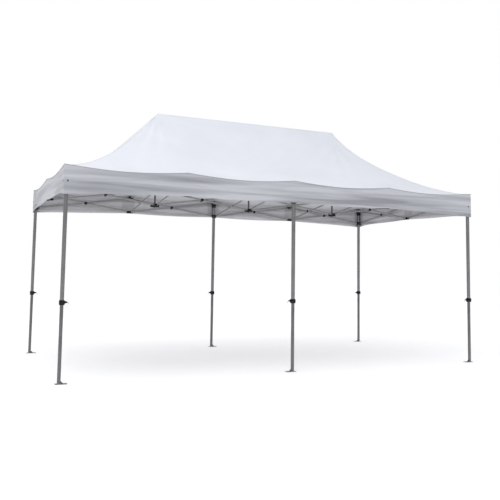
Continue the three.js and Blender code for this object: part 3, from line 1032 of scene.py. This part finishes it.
def build_legs():
    outer_tube = hexagonal_tube(TUBE_RADIUS, 0.003, TUBE_BOTTOM, TUBE_TOP)
    outer_mesh = finish_mesh("outer_tube", outer_tube, 20)
    inner_mesh = finish_mesh("inner_tube", inner_tube_shape(), 20)
    for name, (x, y), foot_way, lock_way, outer, inner in LEGS:
        at = (x * HALF_LENGTH, y * HALF_WIDTH, 0)
        tongues = [(heading, SIDE_GAP) for heading in outer]
        tongues += [(heading, POLE_GAP) for heading in inner]
        inward = math.atan2(-y, -x) if x else math.radians(-45 * y)
        leg, foot, slider = f"leg_{name}", f"foot_{name}", f"slider_{name}"
        for label, shape, body, finish, slot in (
            ("outer_tube", outer_mesh, leg, SILVER, "leg_tube"),
            ("top_bracket", top_bracket_shape(tongues), leg, BLACK, "black_plastic"),
            ("top_bolts", pin_bolts(tongues, TOP_PIN), leg, ZINC, "truss_bar"),
            ("slide_bracket", slider_shape(tongues, inward), slider, BLACK, "black_plastic"),
            ("slide_bolts", pin_bolts(tongues, LOW_PIN), slider, ZINC, "truss_bar"),
            ("lock_collar", lock_collar_shape(lock_way), leg, BLACK, "black_plastic"),
            ("lock_ring", lock_ring_shape(lock_way), leg, ZINC, "truss_bar"),
            ("inner_tube", inner_mesh, foot, SILVER_INNER, "leg_tube"),
            ("foot_plate", foot_plate_shape(foot_way), foot, ZINC, "leg_tube"),
        ):
            piece(f"{label}_{name}", shape, body, finish, at)
        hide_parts(f"upper_leg_{name}")
        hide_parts(f"slider_{name}")
        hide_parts(f"lower_leg_{name}")


# ---- scissor bars --------------------------------------------------------------------------------

TRIM = 0.020                           # bars between a connector's cheeks stop this far short


def bar_outline(length, trims):
    """The bar's face: round at a free end, square where it runs into a connector."""
    half, steps = BAR_HEIGHT / 2, 8
    angles = [math.pi * k / steps for k in range(steps + 1)]
    outline = []
    for end, way, trim in ((0, -1, trims[0]), (length, 1, trims[1])):
        if trim:
            outline += [Vector((end - way * trim, way * y)) for y in (-half, half)]
        else:
            round_end = [Vector((math.sin(a), -math.cos(a))) * way * half for a in angles]
            outline += [Vector((end, 0)) + point for point in round_end]
    return outline


def bar_shape(near, far, across, middle, trims=(0, 0)):
    """A bar between two pins, given from its own origin; middle is its offset across the truss."""
    along = (far - near).normalized()
    outline = bar_outline((far - near).length, trims)
    body = slab(outline, -BAR_THICKNESS / 2, BAR_THICKNESS / 2, 0.0026, 3)
    return moved(body, placed(near + across * middle, along, along.cross(across), across))


def crossing_shape(across, gap):
    """The black spacer where two bars cross, with a cap on each outer face."""
    inside, outside = gap - 0.0003, gap + BAR_THICKNESS + 0.0003
    parts = [lathe([(0, -inside), (0.0135, -inside), (0.0145, -inside + 0.001),
                    (0.0145, inside - 0.001), (0.0135, inside), (0, inside)])]
    profile = [(0, 0), (0.0232, 0), (0.0238, 0.0008), (0.0238, 0.0034),
               (0.0210, 0.0050), (0.0100, 0.0054), (0.0085, 0.0070), (0, 0.0072)]
    for side in (-1, 1):
        cap = lathe([(radius, outside + rise) for radius, rise in profile], 32)
        parts.append(moved(cap, Matrix.Diagonal((side, side, side, 1))))
    return moved(joined(parts), across.to_track_quat("Z", "Y").to_matrix().to_4x4())


def bay_bars(start, heading):
    """The kind, near pin, far pin and side of the truss of a bay's falling and rising bar."""
    end = start + way_along(heading) * BAR_SPAN
    low, top = UP * LOW_PIN, UP * TOP_PIN
    return ("fall", start + top, end + low, -1), ("rise", start + low, end + top, 1)


TRUSSES = [
    ("front_right", (0, -1), EAST, 2, SIDE_GAP), ("front_left", (0, -1), WEST, 2, SIDE_GAP),
    ("back_right", (0, 1), EAST, 2, SIDE_GAP), ("back_left", (0, 1), WEST, 2, SIDE_GAP),
    ("end_left", (-1, -1), NORTH, 2, SIDE_GAP), ("end_right", (1, -1), NORTH, 2, SIDE_GAP),
    ("cross", (0, -1), NORTH, 2, POLE_GAP),
    ("ridge_right", (0, 0), EAST, 1, POLE_GAP), ("ridge_left", (0, 0), WEST, 1, POLE_GAP),
]


def build_trusses():
    """The bars that the CAD frame holds, each on its own body."""
    for name, (x, y), heading, bays, gap in TRUSSES:
        axis = Vector((x * HALF_LENGTH, y * HALF_WIDTH, 0))
        across = way_across(heading)
        middle = gap + BAR_THICKNESS / 2
        for n in range(bays):
            label = f"{name}_{n + 1}"
            start = axis + way_along(heading) * (BAY if n else PIN_OFFSET)
            for kind, near, far, side in bay_bars(start, heading):
                body = f"bar_{label}_{kind}"
                shape = bar_shape(Vector(), far - near, across, side * middle)
                made = piece(f"truss_{label}_{kind}", shape, body, BAR, near)
                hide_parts(body)
            crossing = crossing_shape(across, gap)
            piece(f"cross_joint_{label}", crossing, body, BLACK, (near + far) / 2)


def build_hung_bay(label, start, heading, fall, rise, trims):
    """A bay that the CAD frame leaves out: each bar hangs on a body by one pin and turns as the CAD
    bar that it is parallel to. fall and rise are (body, parallel CAD bar, held end)."""
    across = way_across(heading)
    middle = POLE_GAP + BAR_THICKNESS / 2
    for (kind, near, far, side), hold in zip(bay_bars(start, heading), (fall, rise)):
        body, model, end = hold
        anchor = near if end == "near" else far
        shape = bar_shape(near - anchor, far - anchor, across, side * middle, trims)
        made = piece(f"truss_{label}_{kind}", shape, body, BAR, anchor)
        turn_with(made, model)
    crossing = finish_mesh("joint", crossing_shape(across, POLE_GAP))
    joint = bpy.data.objects.new(f"cross_joint_{label}", crossing)
    joint.data.materials.append(BLACK)
    bpy.context.scene.collection.objects.link(joint)
    joint.parent = made
    joint.location = (near + far) / 2 - anchor


def build_hung_trusses():
    """The cross trusses and ridge bays that meet at the two outer poles."""
    for side, x, heading in (("left", -BAY, WEST), ("right", BAY, EAST)):
        hub, collar, ridge = f"hub_{side}", f"collar_{side}", f"bar_ridge_{side}_1"
        for label, y, way, fall, rise, trims in (
            (f"cross_{side}_1", -HALF_WIDTH, NORTH,
             (hub, "bar_cross_1_fall", "far"), (collar, "bar_cross_1_rise", "far"), (TRIM, 0)),
            (f"cross_{side}_2", PIN_OFFSET, NORTH,
             (collar, "bar_cross_2_fall", "near"), (hub, "bar_cross_2_rise", "near"), (0, TRIM)),
            (f"ridge_{side}_2", 0, heading,
             (collar, f"{ridge}_fall", "near"), (hub, f"{ridge}_rise", "near"), (0, 0)),
        ):
            build_hung_bay(label, Vector((x, y, 0)), way, fall, rise, trims)


def connector_shape(heading, up, tongue_heading, tongue_reach, padded):
    """The black connector between two bays: a cheek outside each bar, a bridge clear of their ends,
    and a tongue to the truss that meets them. up is 1 above the bars and -1 below them."""
    half, tall = 0.0480, 0.0190
    inner = SIDE_GAP + BAR_THICKNESS + 0.0004
    outer = inner + 0.004
    near, far = sorted((up * 0.0150, up * 0.0195))
    bridge = slab(rectangle((-half, near), (half, far), 0.002), -outer, outer, 0.001)
    parts = [moved(bridge, upright(heading))]
    for turn in (heading, heading + math.pi):
        cheek = slab(rectangle((-half, -tall), (half, tall), 0.006), inner, outer, 0.001)
        head = slab(hexagon(0.0080, 0.001, 2), outer, outer + 0.0038, 0.0008)
        parts += [moved(cheek, upright(turn)), moved(head, upright(turn))]
    reach, thick = rectangle((0.018, -0.015), (tongue_reach, 0.015), 0.004), POLE_GAP - 0.0006
    parts.append(moved(slab(reach, -thick, thick, 0.001), upright(tongue_heading)))
    if padded:
        parts.append(lathe([(0, 0.0450), (0.006, 0.0445), (0.011, 0.0415), (0.013, 0.036),
                            (0.013, 0.017), (0, 0.017)]))
    return joined(parts)


def build_connectors():
    """A top and a low connector at the middle of each outer side of the frame."""
    places = [(f"{row}_{side}", (x, y), EAST, inward)
              for row, y, inward in (("front", -HALF_WIDTH, NORTH), ("back", HALF_WIDTH, SOUTH))
              for side, x in (("left", -BAY), ("right", BAY))]
    places += [("end_left", (-HALF_LENGTH, 0), NORTH, EAST),
               ("end_right", (HALF_LENGTH, 0), NORTH, WEST)]
    for name, (x, y), heading, inward in places:
        reach = 0.062 if name.startswith("end") else 0.034
        for level, z, up, bar in (("top", TOP_PIN, 1, "rise"), ("low", LOW_PIN, -1, "fall")):
            shape = connector_shape(heading, up, inward, reach, level == "top")
            body = f"bar_{name}_1_{bar}"
            made = piece(f"connector_{level}_{name}", shape, body, BLACK, (x, y, z))
            turn_with(made, ROOT)


# ---- hubs and poles ------------------------------------------------------------------------------


HUB_CORE = 0.0155                      # half the width of a hub's core and arms
HUB_REACH = 0.064                      # and how far its arms reach


def hub_arms(up):
    """The cross shaped plate of a hub, which lies clear of the bars: above them if up is 1."""
    low, high = sorted((up * 0.0165, up * CLAW_FAR))
    outline = rectangle((-HUB_REACH, -HUB_CORE), (HUB_REACH, HUB_CORE), 0.006)
    arms = []
    for turn, inset in ((EAST, 0.0), (NORTH, 0.001)):
        arm = slab(outline, low + inset, high - inset, 0.0025, 3)
        arms.append(moved(arm, Matrix.Rotation(turn, 4, "Z")))
    return arms


def hub_ears(up):
    """The ears between the bars, one at the end of each arm."""
    low, high = sorted((-up * 0.013, up * 0.020))
    ears = []
    for quarter in range(4):
        ear = slab(rectangle((0.036, -HUB_CORE), (HUB_REACH, HUB_CORE), 0.004), low, high, 0.0015)
        ears.append(moved(ear, Matrix.Rotation(quarter * math.pi / 2, 4, "Z")))
    return ears


def low_hub_shape():
    """The hub that the pole stands on, with a rounded foot."""
    core = slab(rectangle((-HUB_CORE, -HUB_CORE), (HUB_CORE, HUB_CORE), 0.004), -0.020, 0.013, 0.0015)
    foot = lathe([(0, -CLAW_FAR - 0.010), (0.009, -CLAW_FAR - 0.0085), (0.013, -CLAW_FAR - 0.004),
                  (0.014, -CLAW_FAR + 0.002), (0, -CLAW_FAR + 0.002)])
    return joined([*hub_arms(-1), *hub_ears(-1), core, foot])


def collar_shape():
    """The top hub, bored for the pole to slide through."""
    arms = [cut(arm, slab(circle(0.0136, 32), -0.1, 0.1, 0.0001, 1)) for arm in hub_arms(1)]
    outer, inner = soft_square(HUB_CORE, 48, 8), circle(0.0132, 48)
    rings = [ring(outer, -0.013), ring(outer, 0.020), ring(inner, 0.020), ring(inner, -0.013)]
    core = loft(rings, closed=True)
    return joined([*arms, *hub_ears(1), core])


def hub_bolts(heading):
    """Bolts on the pins of the two ears along the heading and on the core's long pin."""
    far = POLE_GAP + BAR_THICKNESS
    parts = bolt_pair(Vector(), heading + math.pi / 2, far)
    for side in (-1, 1):
        parts += bolt_pair(way_along(heading) * side * PIN_OFFSET, heading, far)
    return joined(parts)


def pole_shape():
    outer, inner = circle(0.0125, 32), circle(0.0110, 32)
    return tube(outer, inner, LOW_PIN - 0.010, POLE_TOP - 0.002)


def pole_cap_shape():
    profile = [(0, POLE_TOP - 0.030), (0.0105, POLE_TOP - 0.030), (0.0105, POLE_TOP - 0.0022),
               (0.0128, POLE_TOP - 0.0018), (0.0128, POLE_TOP + 0.0005), (0.0120, POLE_TOP + 0.0045),
               (0.0085, POLE_TOP + 0.0092), (0.0040, POLE_TOP + 0.0118), (0, POLE_TOP + 0.0124)]
    return lathe(profile, 32)


def build_hubs():
    for name, x, heading in (("left", -BAY, NORTH), ("middle", 0.0, EAST), ("right", BAY, NORTH)):
        hub, collar = f"hub_{name}", f"collar_{name}"
        low, top = (x, 0, LOW_PIN), (x, 0, TOP_PIN)
        made = piece(f"pole_hub_{name}", low_hub_shape(), hub, BLACK, low)
        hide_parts(hub)
        piece(f"pole_hub_bolts_{name}", hub_bolts(heading), hub, ZINC, low)
        piece(f"pole_{name}", pole_shape(), hub, SILVER_DARK, (x, 0, 0))
        piece(f"pole_cap_{name}", pole_cap_shape(), hub, BLACK, (x, 0, 0))
        made = piece(f"pole_collar_{name}", collar_shape(), collar, BLACK, top)
        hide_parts(collar)
        piece(f"pole_collar_bolts_{name}", hub_bolts(heading), collar, ZINC, top)


# ---- floor, light and camera ---------------------------------------------------------------------

SKY_LOW = 0.30                         # strength of the sky's light at the horizon and overhead
SKY_HIGH = 1.15


def build_sky():
    """Plain white to look at, but the light that it gives fades from overhead to the horizon."""
    world = bpy.data.worlds.new("studio")
    world.use_nodes = True
    world.node_tree.nodes.remove(world.node_tree.nodes["Background"])
    sky = Nodes(world.node_tree)
    direction = sky.node("TexCoord").outputs["Generated"]
    height = sky.node("SeparateXYZ", {"Vector": direction}).outputs["Z"]
    fade = sky.node("MapRange", {"Value": height, "To Min": SKY_LOW, "To Max": SKY_HIGH})
    glow = {"Color": (0.97, 0.98, 1.0, 1), "Strength": fade.outputs["Result"]}
    light = sky.node("Background", glow).outputs[0]
    seen = sky.node("Background", {"Color": (1, 1, 1, 1)}).outputs[0]
    by_camera = sky.node("LightPath").outputs["Is Camera Ray"]
    mix = sky.node("MixShader", {"Fac": by_camera, 1: light, 2: seen})
    sky.tree.links.new(mix.outputs[0], sky.tree.nodes["World Output"].inputs["Surface"])
    bpy.context.scene.world = world


def build_stage():
    shape = bmesh.new()
    bmesh.ops.create_grid(shape, x_segments=8, y_segments=8, size=120)
    floor = bpy.data.objects.new("floor", finish_mesh("floor", shape))
    floor.data.materials.append(floor_finish())
    bpy.context.scene.collection.objects.link(floor)
    build_sky()
    bpy.context.scene.view_settings.view_transform = "Standard"
    soft_light("overhead", (-5, -4, 11), 7, 320)


def soft_light(name, place, size, watts):
    lamp = bpy.data.lights.new(name, "AREA")
    lamp.size = size
    lamp.energy = watts
    made = bpy.data.objects.new(name, lamp)
    made.location = place
    made.rotation_mode = "QUATERNION"
    made.rotation_quaternion = (Vector((0, 0, 1.5)) - Vector(place)).to_track_quat("-Z", "Y")
    bpy.context.scene.collection.objects.link(made)


def build_camera():
    """Stands a little to the left of the long front, at chest height, looking slightly up."""
    yaw, pitch, roll = 0.420, 0.0902, 0.0144
    flat_ahead = Vector((math.sin(yaw), math.cos(yaw), 0))
    ahead = flat_ahead * math.cos(pitch) + UP * math.sin(pitch)
    level_right = Vector((math.cos(yaw), -math.sin(yaw), 0))
    level_up = level_right.cross(ahead)
    right = level_right * math.cos(roll) + level_up * math.sin(roll)
    up = level_up * math.cos(roll) - level_right * math.sin(roll)
    camera = bpy.data.objects.new("camera", bpy.data.cameras.new("camera"))
    camera.data.lens = 48.45
    camera.data.shift_y = -0.0826
    camera.data.clip_end = 400
    camera.matrix_world = placed((-4.222, -9.511, 1.332), right, up, -ahead)
    bpy.context.scene.collection.objects.link(camera)
    bpy.context.scene.camera = camera


# ---- the whole canopy ----------------------------------------------------------------------------

build_camera()
build_stage()
build_legs()
build_trusses()
build_hung_trusses()
build_connectors()
build_hubs()
cover, trims = build_cover()
